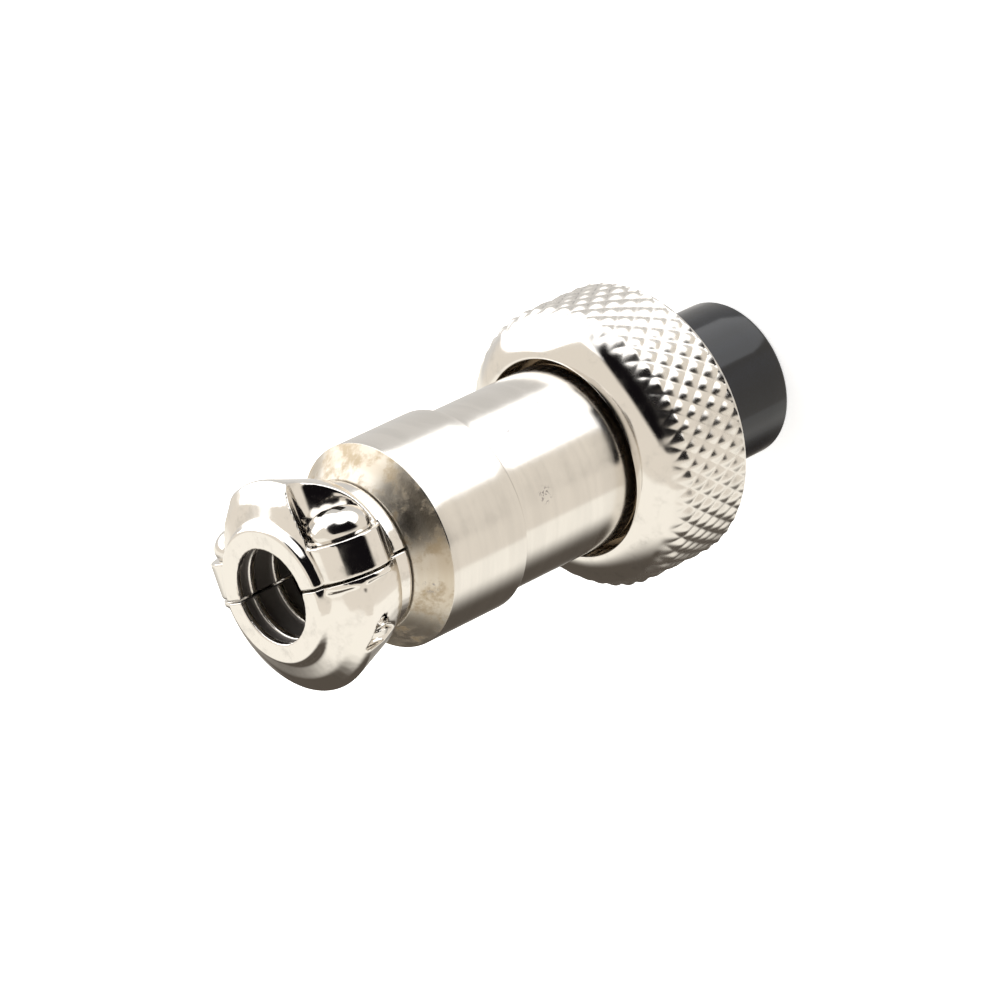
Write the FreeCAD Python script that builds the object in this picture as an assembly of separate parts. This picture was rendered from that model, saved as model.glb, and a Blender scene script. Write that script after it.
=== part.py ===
import FreeCAD, Part
import math
import os

from FreeCAD import Vector

# Circular cable plug: a knurled coupling nut over a turned shell, an insulating insert
# with socket contacts, and a two-half cast clamp that grips the cable.
# Millimetres. The axis is +Z, the mating face is at z = 0 and the cable leaves at the top.
# The clamp parts in the plane x = 0 and its two screws run along X.

# Insulating insert
NOSE_R = 5.3
NOSE_LENGTH = 12.3
NOSE_EDGE = 0.3
INSERT_FLANGE_RISE = 0.5
INSERT_SEAT_DEPTH = 2.2
INSERT_TAIL_PROUD = 0.5
KEYWAY_WIDTH = 1.8
KEYWAY_DEPTH = 0.9
KEYWAY_LENGTH = 8.5
KEYWAY_ANGLE = 90.0

# Socket contacts
CONTACT_RING_COUNT = 8
CONTACT_RING_WALL = 0.28
CONTACT_RING_START = 22.5
CONTACT_R = 0.75
CONTACT_RECESS = 1.0
CONTACT_SOCKET_R = 0.52
CONTACT_SOCKET_DEPTH = 6.5
CONTACT_SLOT_WIDTH = 0.2
CONTACT_SLOT_DEPTH = 5.0
CONTACT_CUP_LENGTH = 4.0
CONTACT_CUP_R = 0.5
CONTACT_CUP_DEPTH = 3.0
CONTACT_CUP_WINDOW = 2.2
CONTACT_CUP_SIDE = 0.08
CONTACT_ENTRY_R = 0.6
CONTACT_CLEARANCE = 0.02

# Insert holder, the turned ring that screws into the shell
INSERT_CLEARANCE = 0.05
HOLDER_SEAT_WALL = 0.33
HOLDER_WEB_LENGTH = 3.0
HOLDER_FLANGE_OVERLAP = 0.37
HOLDER_FLANGE_THICKNESS = 1.4
HOLDER_COLLAR_LENGTH = 1.6
HOLDER_THREAD_WALL = 0.6
HOLDER_END_GAP = 0.05
HOLDER_THREAD_LENGTH = 6.9
HOLDER_EDGE = 0.15

# Retaining ring in the insert's groove, behind the holder's web
RETAINER_THICKNESS = 0.5
RETAINER_WIDTH = 0.75
RETAINER_GROOVE_DEPTH = 0.35
RETAINER_GAP_WIDTH = 2.4
RETAINER_CLEARANCE = 0.05
RETAINER_ROOM = 0.15

# Rear shell
TUBE_THREAD_WALL = 0.65
TUBE_LENGTH = 10.45
TUBE_EDGE = 0.3
BARREL_STEP = 0.55
BARREL_LENGTH = 6.4
BARREL_EDGE = 0.12
CONE_ANGLE = 45.0
SHELL_THREAD_CLEARANCE = 0.03
SHELL_THREAD_RUNOUT = 0.8
SHELL_BORE_STEP = 0.33
SHELL_BORE_ROUND = 1.0
SHELL_REAR_WALL = 1.5
SHELL_CABLE_R = 3.2
NECK_WALL = 0.7
NECK_LENGTH = 1.6
NECK_FLANGE_RISE = 0.6
NECK_FLANGE_LENGTH = 1.0

# Lock screw through the shell into the holder, on the side away from the clamp's heads
LOCK_SCREW_R = 1.0
LOCK_SCREW_SINK = 0.12
LOCK_SCREW_FROM_MOUTH = 5.2
LOCK_SCREW_TIP_GAP = 0.1
LOCK_SCREW_SLOT_WIDTH = 0.3
LOCK_SCREW_SLOT_DEPTH = 0.5
LOCK_SCREW_CLEARANCE = 0.03

# Coupling nut
NUT_THREAD_WALL = 1.5
NUT_HOLE_CLEARANCE = 0.5
NUT_HOLE_EDGE = 0.3
NUT_WALL = 1.8
NUT_FLANGE_CLEARANCE = 0.138
NUT_THREAD_PITCH = 1.5
THREAD_DEPTH_PER_PITCH = 0.5413
NUT_THREAD_DEPTH = 5.6
NUT_MOUTH_EXTRA = 0.1
NUT_SHOULDER_DROP = 0.25
NUT_SHOULDER_LENGTH = 2.05
NUT_BEND_DROP = 0.75
NUT_BEND_LENGTH = 1.05
NUT_BEND_ROUND = 3.0
NUT_FACE_WIDTH = 0.72
NUT_FACE_ROUND = 0.8
KNURL_DEPTH = 0.22
KNURL_COUNT = 46
KNURL_HALF_ROWS = 6

# Slip washer between the nut and the holder's flange
WASHER_THICKNESS = 0.4
WASHER_INNER_CLEARANCE = 0.06
WASHER_OUTER_CLEARANCE = 0.1
WASHER_FACE_GAP = 0.05

# Cable clamp
CLAMP_SPLIT_GAP = 0.14
CLAMP_END_GAP = 0.1
SWIVEL_CLEARANCE = 0.15
CLAMP_EDGE = 0.15
CLAMP_COLLAR_WALL = 0.35
CLAMP_COLLAR_LENGTH = 1.47
CLAMP_BASE_STEP = 0.6
CLAMP_CREST_RISE = 1.35
CLAMP_TAPER_LENGTH = 3.95
CLAMP_CREST_ROUND = 0.5
CLAMP_BROW_DROP = 1.15
CLAMP_BROW_LENGTH = 0.8
CLAMP_BROW_ROUND = 1.2
CLAMP_FLARE_LENGTH = 0.4
CLAMP_FLARE_ROUND = 0.3
CLAMP_RING_DRAFT = 0.18
CLAMP_RING_WALL = 1.37
CLAMP_RING_LENGTH = 0.65
CLAMP_RING_ROUND = 0.25
CABLE_MOUTH_R = 3.05
CABLE_MOUTH_DEPTH = 0.5
GRIP_RIB_HEIGHT = 0.25
GRIP_RIB_WIDTH = 0.5
GRIP_RIB_DEPTHS = (1.1, 3.1)

# Clamp screws, their seats and their threaded holes
SCREW_FROM_CLAMP_BASE = 2.75
SCREW_CHANNEL_WALL = 0.34
SCREW_R = 0.98
SCREW_HOLE_CLEARANCE = 0.08
SCREW_THREAD_CLEARANCE = 0.04
SCREW_HEAD_R = 2.0
SCREW_HEAD_HEIGHT = 1.75
SCREW_HEAD_DOME = 1.3
SCREW_RECESS_LENGTH = 2.2
SCREW_RECESS_WIDTH = 0.5
SCREW_RECESS_DEPTH = 0.7
SCREW_SEAT = 2.4
SCREW_SEAT_GAP = 0.02
SCREW_BOSS_WALL = 1.4
SCREW_BOSS_LIP = 0.5
SCREW_POCKET_CLEARANCE = 0.3
SCREW_REACH = 4.1
SCREW_TIP_CHAMFER = 0.3
SCREW_TIP_ROOM = 0.2

# Windows in the -X half's belly, where the screw tips show. The top edge slopes towards the nut.
WINDOW_INSIDE = 0.7
WINDOW_TOP = 3.2
WINDOW_TOP_REAR = 0.5
WINDOW_TOP_FRONT = 1.9
WINDOW_TOP_SLOPE = 0.7
WINDOW_BOTTOM = 4.6
WINDOW_BOTTOM_REAR = 1.3
WINDOW_BOTTOM_FRONT = 2.2

# Narrow casting slits at the foot of the belly
SLIT_WIDTH = 0.35
SLIT_DEPTH = 0.5
SLIT_START = 3.0
SLIT_SWEEP = 24.0

# Radii, each from its neighbour and a named wall or clearance
INSERT_FLANGE_R = NOSE_R + INSERT_FLANGE_RISE
HOLDER_SEAT_R = INSERT_FLANGE_R + INSERT_CLEARANCE
TUBE_R = HOLDER_SEAT_R + HOLDER_SEAT_WALL
SHELL_THREAD_R = TUBE_R - TUBE_THREAD_WALL
SHELL_BORE_R = SHELL_THREAD_R - SHELL_BORE_STEP
HOLDER_THREAD_R = SHELL_THREAD_R - SHELL_THREAD_CLEARANCE
HOLDER_REAR_R = HOLDER_THREAD_R - HOLDER_THREAD_WALL
RETAINER_OUTER_R = HOLDER_REAR_R - RETAINER_ROOM
RETAINER_INNER_R = RETAINER_OUTER_R - RETAINER_WIDTH
RETAINER_GROOVE_R = RETAINER_INNER_R - RETAINER_CLEARANCE
INSERT_TAIL_R = RETAINER_GROOVE_R + RETAINER_GROOVE_DEPTH
HOLDER_WEB_R = INSERT_TAIL_R + INSERT_CLEARANCE
CONTACT_BORE_R = CONTACT_R + CONTACT_CLEARANCE
CONTACT_RING_R = RETAINER_GROOVE_R - CONTACT_RING_WALL - CONTACT_BORE_R
BARREL_R = TUBE_R + BARREL_STEP
NUT_HOLE_R = TUBE_R + NUT_HOLE_CLEARANCE
HOLDER_FLANGE_R = NUT_HOLE_R + HOLDER_FLANGE_OVERLAP
NUT_MINOR_R = HOLDER_FLANGE_R + NUT_FLANGE_CLEARANCE
NUT_THREAD_R = NUT_MINOR_R + THREAD_DEPTH_PER_PITCH * NUT_THREAD_PITCH
NUT_MOUTH_R = NUT_THREAD_R + NUT_MOUTH_EXTRA
NUT_R = NUT_THREAD_R + NUT_THREAD_WALL
NUT_SHOULDER_R = NUT_R - NUT_SHOULDER_DROP
NUT_BEND_R = NUT_R - NUT_BEND_DROP
NUT_FACE_R = NUT_HOLE_R + NUT_FACE_WIDTH
NECK_R = SHELL_CABLE_R + NECK_WALL
NECK_FLANGE_R = NECK_R + NECK_FLANGE_RISE
CLAMP_COLLAR_R = NECK_FLANGE_R + SWIVEL_CLEARANCE + CLAMP_COLLAR_WALL
CONE_END_R = CLAMP_COLLAR_R
CLAMP_BASE_R = CLAMP_COLLAR_R + CLAMP_BASE_STEP
CLAMP_CREST_R = CLAMP_BASE_R + CLAMP_CREST_RISE
CLAMP_BROW_R = CLAMP_CREST_R - CLAMP_BROW_DROP
CLAMP_RING_R = CABLE_MOUTH_R + CLAMP_RING_WALL
CLAMP_RING_FOOT_R = CLAMP_RING_R + CLAMP_RING_DRAFT
CABLE_CHANNEL_R = CABLE_MOUTH_R + GRIP_RIB_HEIGHT
SCREW_HOLE_R = SCREW_R + SCREW_HOLE_CLEARANCE
SCREW_OFFSET = CABLE_CHANNEL_R + SCREW_CHANNEL_WALL + SCREW_HOLE_R
SCREW_BOSS_R = SCREW_HOLE_R + SCREW_BOSS_WALL
SCREW_POCKET_R = SCREW_HEAD_R + SCREW_POCKET_CLEARANCE
WINDOW_FROM_AXIS = SCREW_OFFSET - WINDOW_INSIDE

# Heights along the axis, from the mating face up
FLANGE_FRONT_Z = NOSE_LENGTH
FLANGE_REAR_Z = FLANGE_FRONT_Z + HOLDER_FLANGE_THICKNESS
COLLAR_END_Z = FLANGE_REAR_Z + HOLDER_COLLAR_LENGTH
INSERT_SEAT_Z = FLANGE_FRONT_Z + INSERT_SEAT_DEPTH
WEB_FRONT_Z = INSERT_SEAT_Z + INSERT_CLEARANCE
WEB_END_Z = WEB_FRONT_Z + HOLDER_WEB_LENGTH
RETAINER_Z = WEB_END_Z + RETAINER_CLEARANCE
RETAINER_END_Z = RETAINER_Z + RETAINER_THICKNESS
RETAINER_GROOVE_END_Z = RETAINER_END_Z + RETAINER_CLEARANCE
INSERT_END_Z = RETAINER_GROOVE_END_Z + INSERT_TAIL_PROUD
SHELL_MOUTH_Z = COLLAR_END_Z + HOLDER_END_GAP
HOLDER_END_Z = SHELL_MOUTH_Z + HOLDER_THREAD_LENGTH
STEP_Z = SHELL_MOUTH_Z + TUBE_LENGTH
BARREL_END_Z = STEP_Z + BARREL_LENGTH
CONE_END_Z = BARREL_END_Z + (BARREL_R - CONE_END_R) / math.tan(math.radians(CONE_ANGLE))
NECK_END_Z = CONE_END_Z + NECK_LENGTH
SHELL_END_Z = NECK_END_Z + NECK_FLANGE_LENGTH
WASHER_Z = FLANGE_REAR_Z + WASHER_FACE_GAP
NUT_INNER_Z = WASHER_Z + WASHER_THICKNESS + WASHER_FACE_GAP
NUT_FRONT_Z = NUT_INNER_Z - NUT_THREAD_DEPTH
NUT_REAR_Z = NUT_INNER_Z + NUT_WALL
NUT_SHOULDER_Z = NUT_REAR_Z - NUT_SHOULDER_LENGTH
NUT_BEND_Z = NUT_REAR_Z - NUT_BEND_LENGTH
CLAMP_FRONT_Z = CONE_END_Z + CLAMP_END_GAP
CLAMP_BASE_Z = CLAMP_FRONT_Z + CLAMP_COLLAR_LENGTH
CLAMP_CREST_Z = CLAMP_BASE_Z + CLAMP_TAPER_LENGTH
CLAMP_BROW_Z = CLAMP_CREST_Z + CLAMP_BROW_LENGTH
CLAMP_RING_Z = CLAMP_BROW_Z + CLAMP_FLARE_LENGTH
CLAMP_END_Z = CLAMP_RING_Z + CLAMP_RING_LENGTH
SCREW_Z = CLAMP_BASE_Z + SCREW_FROM_CLAMP_BASE
LOCK_SCREW_Z = SHELL_MOUTH_Z + LOCK_SCREW_FROM_MOUTH

ORIGIN = Vector(0, 0, 0)
Z = Vector(0, 0, 1)
FAR = 60.0
MARGIN = 1.0
SHARED_EDGE = 0.48
WHOLE_EDGE = 0.96
SIDES = (-1, 1)


def round_of(corner):
    return corner[2] if len(corner) > 2 else 0.0


def rounded_corner(before, here, after):
    """Arc start, arc end and middle of one corner. A neighbour with a round shares the edge."""
    point = Vector(here[0], 0, here[1])
    to_before = Vector(before[0], 0, before[1]) - point
    to_after = Vector(after[0], 0, after[1]) - point
    if round_of(here) <= 0.0:
        return point, point, None
    room = []
    for arm, neighbour in ((to_before, before), (to_after, after)):
        room.append(arm.Length * (SHARED_EDGE if round_of(neighbour) > 0.0 else WHOLE_EDGE))
    half = to_before.getAngle(to_after) / 2
    cut = min([round_of(here) / math.tan(half)] + room)
    to_before.normalize()
    to_after.normalize()
    inward = to_before + to_after
    inward.normalize()
    radius = cut * math.tan(half)
    middle = point + inward * (radius / math.sin(half) - radius)
    return point + to_before * cut, point + to_after * cut, middle


def rounded_face(corners):
    """Face in the XZ half plane. A corner is (radius, height) or (radius, height, round)."""
    count = len(corners)
    bends = []
    for index in range(count):
        bends.append(rounded_corner(corners[index - 1], corners[index], corners[(index + 1) % count]))
    edges = []
    for index in range(count):
        arc_start, arc_end, middle = bends[index]
        if middle is not None:
            edges.append(Part.Arc(arc_start, middle, arc_end).toShape())
        edges.append(Part.makeLine(arc_end, bends[(index + 1) % count][0]))
    return Part.Face(Part.Wire(edges))


def turned(corners):
    """Solid of revolution about Z."""
    return rounded_face(corners).revolve(ORIGIN, Z, 360)


def rod_z(radius, low, high, x=0.0, y=0.0):
    return Part.makeCylinder(radius, high - low, Vector(x, y, low), Z)


def rod_x(radius, low, high, y, z):
    return Part.makeCylinder(radius, high - low, Vector(low, y, z), Vector(1, 0, 0))


def box(low, high):
    size = high - low
    return Part.makeBox(size.x, size.y, size.z, low)


def about_z(shape, degrees):
    turned_shape = shape.copy()
    turned_shape.rotate(ORIGIN, Z, degrees)
    return turned_shape


def contact_places():
    """Centre contact first, then the ring."""
    places = [(0.0, 0.0)]
    for index in range(CONTACT_RING_COUNT):
        angle = math.radians(CONTACT_RING_START + index * 360.0 / CONTACT_RING_COUNT)
        places.append((CONTACT_RING_R * math.cos(angle), CONTACT_RING_R * math.sin(angle)))
    return places


def make_insert():
    body = turned([
        (0, 0), (NOSE_R, 0, NOSE_EDGE), (NOSE_R, FLANGE_FRONT_Z),
        (INSERT_FLANGE_R, FLANGE_FRONT_Z), (INSERT_FLANGE_R, INSERT_SEAT_Z),
        (INSERT_TAIL_R, INSERT_SEAT_Z), (INSERT_TAIL_R, WEB_END_Z),
        (RETAINER_GROOVE_R, WEB_END_Z), (RETAINER_GROOVE_R, RETAINER_GROOVE_END_Z),
        (INSERT_TAIL_R, RETAINER_GROOVE_END_Z), (INSERT_TAIL_R, INSERT_END_Z), (0, INSERT_END_Z),
    ])
    holes = []
    for x, y in contact_places():
        holes.append(rod_z(CONTACT_ENTRY_R, -MARGIN, CONTACT_RECESS, x, y))
        holes.append(rod_z(CONTACT_BORE_R, CONTACT_RECESS, INSERT_END_Z + MARGIN, x, y))
    keyway = box(Vector(NOSE_R - KEYWAY_DEPTH, -KEYWAY_WIDTH / 2, -MARGIN),
                 Vector(NOSE_R + MARGIN, KEYWAY_WIDTH / 2, KEYWAY_LENGTH))
    holes.append(about_z(keyway, KEYWAY_ANGLE))
    return body.cut(holes)


def make_contact(x, y):
    low = CONTACT_RECESS + CONTACT_CLEARANCE
    high = INSERT_END_Z + CONTACT_CUP_LENGTH
    body = rod_z(CONTACT_R, low, high)
    side = CONTACT_R + MARGIN
    socket = rod_z(CONTACT_SOCKET_R, low - MARGIN, low + CONTACT_SOCKET_DEPTH)
    cup = rod_z(CONTACT_CUP_R, high - CONTACT_CUP_DEPTH, high + MARGIN)
    slot = box(Vector(-side, -CONTACT_SLOT_WIDTH / 2, low - MARGIN),
               Vector(side, CONTACT_SLOT_WIDTH / 2, low + CONTACT_SLOT_DEPTH))
    window = box(Vector(CONTACT_CUP_SIDE, -side, high - CONTACT_CUP_WINDOW),
                 Vector(side, side, high + MARGIN))
    contact = body.cut([socket, cup, slot, window])
    contact.rotate(ORIGIN, Z, math.degrees(math.atan2(y, x)))
    contact.translate(Vector(x, y, 0))
    return contact


def make_insert_holder():
    body = turned([
        (HOLDER_SEAT_R, FLANGE_FRONT_Z), (HOLDER_FLANGE_R, FLANGE_FRONT_Z, HOLDER_EDGE),
        (HOLDER_FLANGE_R, FLANGE_REAR_Z, HOLDER_EDGE), (TUBE_R, FLANGE_REAR_Z),
        (TUBE_R, COLLAR_END_Z, HOLDER_EDGE), (HOLDER_THREAD_R, COLLAR_END_Z),
        (HOLDER_THREAD_R, HOLDER_END_Z, HOLDER_EDGE), (HOLDER_REAR_R, HOLDER_END_Z),
        (HOLDER_REAR_R, WEB_END_Z), (HOLDER_WEB_R, WEB_END_Z), (HOLDER_WEB_R, WEB_FRONT_Z),
        (HOLDER_SEAT_R, WEB_FRONT_Z),
    ])
    return body.cut(lock_screw_hole())


def make_retaining_ring():
    ring = rod_z(RETAINER_OUTER_R, RETAINER_Z, RETAINER_END_Z)
    hole = rod_z(RETAINER_INNER_R, RETAINER_Z - MARGIN, RETAINER_END_Z + MARGIN)
    gap = box(Vector(0, -RETAINER_GAP_WIDTH / 2, RETAINER_Z - MARGIN),
              Vector(FAR, RETAINER_GAP_WIDTH / 2, RETAINER_END_Z + MARGIN))
    return ring.cut([hole, gap])


def rod_y(radius, low, high, z):
    return Part.makeCylinder(radius, high - low, Vector(0, low, z), Vector(0, 1, 0))


def lock_screw_hole():
    """Radial hole on the +Y side, through the shell's wall and the holder's thread."""
    return rod_y(LOCK_SCREW_R + LOCK_SCREW_CLEARANCE, HOLDER_REAR_R - MARGIN, FAR, LOCK_SCREW_Z)


def make_lock_screw():
    high = TUBE_R - LOCK_SCREW_SINK
    side = LOCK_SCREW_R + MARGIN
    screw = rod_y(LOCK_SCREW_R, HOLDER_REAR_R + LOCK_SCREW_TIP_GAP, high, LOCK_SCREW_Z)
    slot = box(Vector(-side, high - LOCK_SCREW_SLOT_DEPTH, LOCK_SCREW_Z - LOCK_SCREW_SLOT_WIDTH / 2),
               Vector(side, high + MARGIN, LOCK_SCREW_Z + LOCK_SCREW_SLOT_WIDTH / 2))
    return screw.cut(slot)


def make_rear_shell():
    thread_end = HOLDER_END_Z + SHELL_THREAD_RUNOUT
    bore_end = CONE_END_Z - SHELL_REAR_WALL
    body = turned([
        (SHELL_THREAD_R, SHELL_MOUTH_Z), (TUBE_R, SHELL_MOUTH_Z, TUBE_EDGE),
        (TUBE_R, STEP_Z), (BARREL_R, STEP_Z, BARREL_EDGE),
        (BARREL_R, BARREL_END_Z, BARREL_EDGE), (CONE_END_R, CONE_END_Z, BARREL_EDGE),
        (NECK_R, CONE_END_Z), (NECK_R, NECK_END_Z),
        (NECK_FLANGE_R, NECK_END_Z, BARREL_EDGE), (NECK_FLANGE_R, SHELL_END_Z, BARREL_EDGE),
        (SHELL_CABLE_R, SHELL_END_Z, BARREL_EDGE), (SHELL_CABLE_R, bore_end),
        (SHELL_BORE_R, bore_end, SHELL_BORE_ROUND), (SHELL_BORE_R, thread_end),
        (SHELL_THREAD_R, thread_end),
    ])
    return body.cut(lock_screw_hole())


def knurl_band(low, high):
    """Closed solid of diamond pyramids between two heights, with flat ends."""
    columns = 2 * KNURL_COUNT
    step = (high - low) / KNURL_HALF_ROWS
    rows = []
    for row in range(KNURL_HALF_ROWS + 1):
        points = []
        for column in range(columns):
            is_crest = (row + column) % 2 == 0
            radius = NUT_R if is_crest else NUT_R - KNURL_DEPTH
            angle = math.pi * column / KNURL_COUNT
            points.append(Vector(radius * math.cos(angle), radius * math.sin(angle), low + row * step))
        rows.append(points)
    faces = []
    for row in range(KNURL_HALF_ROWS):
        for column in range(columns):
            following = (column + 1) % columns
            a, b = rows[row][column], rows[row][following]
            c, d = rows[row + 1][following], rows[row + 1][column]
            if (row + column) % 2 == 0:
                triangles = ((a, b, d), (b, c, d))
            else:
                triangles = ((a, b, c), (a, c, d))
            for corners in triangles:
                faces.append(Part.Face(Part.makePolygon(list(corners) + [corners[0]])))
    for ring in (rows[0], rows[-1]):
        faces.append(Part.Face(Part.makePolygon(ring + [ring[0]])))
    shell = Part.makeShell(faces)
    shell.sewShape()
    band = Part.makeSolid(shell)
    if band.Volume < 0:
        band.reverse()
    return band


def make_coupling_nut():
    shoulder = turned([
        (0, NUT_SHOULDER_Z), (NUT_SHOULDER_R, NUT_SHOULDER_Z),
        (NUT_BEND_R, NUT_BEND_Z, NUT_BEND_ROUND), (NUT_FACE_R, NUT_REAR_Z, NUT_FACE_ROUND),
        (0, NUT_REAR_Z),
    ])
    body = knurl_band(NUT_FRONT_Z, NUT_SHOULDER_Z).fuse(shoulder)
    bore = turned([
        (0, NUT_FRONT_Z - MARGIN), (NUT_MOUTH_R + MARGIN, NUT_FRONT_Z - MARGIN),
        (NUT_MINOR_R, NUT_FRONT_Z + NUT_MOUTH_R - NUT_MINOR_R),
        (NUT_MINOR_R, NUT_INNER_Z), (NUT_HOLE_R, NUT_INNER_Z),
        (NUT_HOLE_R, NUT_REAR_Z - NUT_HOLE_EDGE),
        (NUT_HOLE_R + NUT_HOLE_EDGE + MARGIN, NUT_REAR_Z + MARGIN), (0, NUT_REAR_Z + MARGIN),
    ])
    return body.cut(bore)


def make_slip_washer():
    high = WASHER_Z + WASHER_THICKNESS
    disc = rod_z(NUT_MINOR_R - WASHER_OUTER_CLEARANCE, WASHER_Z, high)
    return disc.cut(rod_z(TUBE_R + WASHER_INNER_CLEARANCE, WASHER_Z - MARGIN, high + MARGIN))


def clamp_outside():
    return turned([
        (0, CLAMP_FRONT_Z), (CLAMP_COLLAR_R, CLAMP_FRONT_Z, CLAMP_EDGE),
        (CLAMP_COLLAR_R, CLAMP_BASE_Z), (CLAMP_BASE_R, CLAMP_BASE_Z, CLAMP_EDGE),
        (CLAMP_CREST_R, CLAMP_CREST_Z, CLAMP_CREST_ROUND),
        (CLAMP_BROW_R, CLAMP_BROW_Z, CLAMP_BROW_ROUND),
        (CLAMP_RING_FOOT_R, CLAMP_RING_Z, CLAMP_FLARE_ROUND),
        (CLAMP_RING_R, CLAMP_END_Z, CLAMP_RING_ROUND), (0, CLAMP_END_Z),
    ])


def clamp_inside():
    """Space of the neck, its flange, the cable channel and the mouth."""
    lip_r = NECK_R + SWIVEL_CLEARANCE
    groove_r = NECK_FLANGE_R + SWIVEL_CLEARANCE
    groove_low = NECK_END_Z - SWIVEL_CLEARANCE
    groove_high = SHELL_END_Z + SWIVEL_CLEARANCE
    corners = [
        (0, CLAMP_FRONT_Z - MARGIN), (lip_r, CLAMP_FRONT_Z - MARGIN), (lip_r, groove_low),
        (groove_r, groove_low), (groove_r, groove_high), (CABLE_CHANNEL_R, groove_high),
    ]
    for depth in reversed(GRIP_RIB_DEPTHS):
        rib_low = CLAMP_END_Z - depth - GRIP_RIB_WIDTH
        rib_high = CLAMP_END_Z - depth
        corners += [(CABLE_CHANNEL_R, rib_low), (CABLE_MOUTH_R, rib_low),
                    (CABLE_MOUTH_R, rib_high), (CABLE_CHANNEL_R, rib_high)]
    mouth_z = CLAMP_END_Z - CABLE_MOUTH_DEPTH
    corners += [(CABLE_CHANNEL_R, mouth_z), (CABLE_MOUTH_R, mouth_z),
                (CABLE_MOUTH_R, CLAMP_END_Z + MARGIN), (0, CLAMP_END_Z + MARGIN)]
    return turned(corners)


def clamp_slits():
    """Short slits at the foot of the belly, one beside each end of the split."""
    low = CLAMP_BASE_Z - SLIT_WIDTH
    face = rounded_face([
        (CLAMP_COLLAR_R - SLIT_DEPTH, low), (CLAMP_CREST_R, low),
        (CLAMP_CREST_R, CLAMP_BASE_Z), (CLAMP_COLLAR_R - SLIT_DEPTH, CLAMP_BASE_Z),
    ])
    slit = face.revolve(ORIGIN, Z, SLIT_SWEEP)
    return [about_z(slit, SLIT_START - 90), about_z(slit, 90 - SLIT_START - SLIT_SWEEP)]


def half_space(low_x, high_x):
    return box(Vector(low_x, -FAR, CLAMP_FRONT_Z - MARGIN), Vector(high_x, FAR, CLAMP_END_Z + MARGIN))


def make_head_half():
    """Clamp half on the +X side, with the two screw seats and their open pockets."""
    bosses = []
    cuts = [clamp_inside(), half_space(-FAR, CLAMP_SPLIT_GAP / 2)] + clamp_slits()
    for side in SIDES:
        y = side * SCREW_OFFSET
        open_side = sorted((y, side * FAR))
        bosses.append(rod_x(SCREW_BOSS_R, 0, SCREW_SEAT, y, SCREW_Z))
        cuts.append(rod_x(SCREW_POCKET_R, SCREW_SEAT, FAR, y, SCREW_Z))
        cuts.append(box(Vector(SCREW_SEAT, open_side[0], SCREW_Z - SCREW_POCKET_R),
                        Vector(FAR, open_side[1], SCREW_Z + SCREW_POCKET_R)))
        cuts.append(rod_x(SCREW_HOLE_R, -MARGIN, SCREW_SEAT + MARGIN, y, SCREW_Z))
    return clamp_outside().fuse(bosses).cut(cuts)


def exit_window(side):
    """Four-sided opening in the belly beside a screw's tip."""
    y = side * WINDOW_FROM_AXIS
    corners = [
        Vector(-WINDOW_TOP, y, SCREW_Z + WINDOW_TOP_REAR),
        Vector(-WINDOW_TOP - WINDOW_TOP_SLOPE, y, SCREW_Z - WINDOW_TOP_FRONT),
        Vector(-WINDOW_BOTTOM, y, SCREW_Z - WINDOW_BOTTOM_FRONT),
        Vector(-WINDOW_BOTTOM, y, SCREW_Z + WINDOW_BOTTOM_REAR),
    ]
    outline = Part.Face(Part.makePolygon(corners + corners[:1]))
    return outline.extrude(Vector(0, side * FAR, 0))


def make_thread_half():
    """Clamp half on the -X side, with the two threaded holes and the windows they end in."""
    bosses = []
    cuts = [clamp_inside(), half_space(-CLAMP_SPLIT_GAP / 2, FAR)]
    hole_end = -(SCREW_REACH + SCREW_TIP_ROOM)
    for side in SIDES:
        y = side * SCREW_OFFSET
        bosses.append(rod_x(SCREW_BOSS_R, -SCREW_BOSS_LIP, 0, y, SCREW_Z))
        cuts.append(rod_x(SCREW_R + SCREW_THREAD_CLEARANCE, hole_end, MARGIN, y, SCREW_Z))
        cuts.append(exit_window(side))
    return clamp_outside().fuse(bosses).cut(cuts)


def make_clamp_screw(side):
    """Pan head on the +X side, with its shank reaching through to the -X half's window."""
    seat = SCREW_SEAT + SCREW_SEAT_GAP
    top = seat + SCREW_HEAD_HEIGHT
    tip = -SCREW_REACH
    screw = turned([
        (0, tip), (SCREW_R - SCREW_TIP_CHAMFER, tip), (SCREW_R, tip + SCREW_TIP_CHAMFER),
        (SCREW_R, seat), (SCREW_HEAD_R, seat), (SCREW_HEAD_R, top, SCREW_HEAD_DOME), (0, top),
    ])
    arm = box(Vector(-SCREW_RECESS_LENGTH / 2, -SCREW_RECESS_WIDTH / 2, top - SCREW_RECESS_DEPTH),
              Vector(SCREW_RECESS_LENGTH / 2, SCREW_RECESS_WIDTH / 2, top + MARGIN))
    screw = screw.cut([arm, about_z(arm, 90)])
    screw.rotate(ORIGIN, Vector(0, 1, 0), 90)
    screw.translate(Vector(0, side * SCREW_OFFSET, SCREW_Z))
    return screw


def build():
    parts = {
        "rear_shell": make_rear_shell(),
        "insert_holder": make_insert_holder(),
        "insert": make_insert(),
        "retaining_ring": make_retaining_ring(),
        "lock_screw": make_lock_screw(),
        "slip_washer": make_slip_washer(),
        "coupling_nut": make_coupling_nut(),
        "clamp_half_a": make_head_half(),
        "clamp_half_b": make_thread_half(),
        "clamp_screw_a": make_clamp_screw(-1),
        "clamp_screw_b": make_clamp_screw(1),
    }
    for index, (x, y) in enumerate(contact_places()):
        parts["contact_%d" % (index + 1)] = make_contact(x, y)
    return parts


def main():
    os.makedirs("parts", exist_ok=True)
    for name, shape in build().items():
        shape.exportStep("parts/%s.step" % name)
        print(name, len(shape.Solids), shape.isValid(), round(shape.Volume, 3))


main()
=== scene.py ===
import math

import bmesh
import bpy
from mathutils import Matrix, Vector


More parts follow.
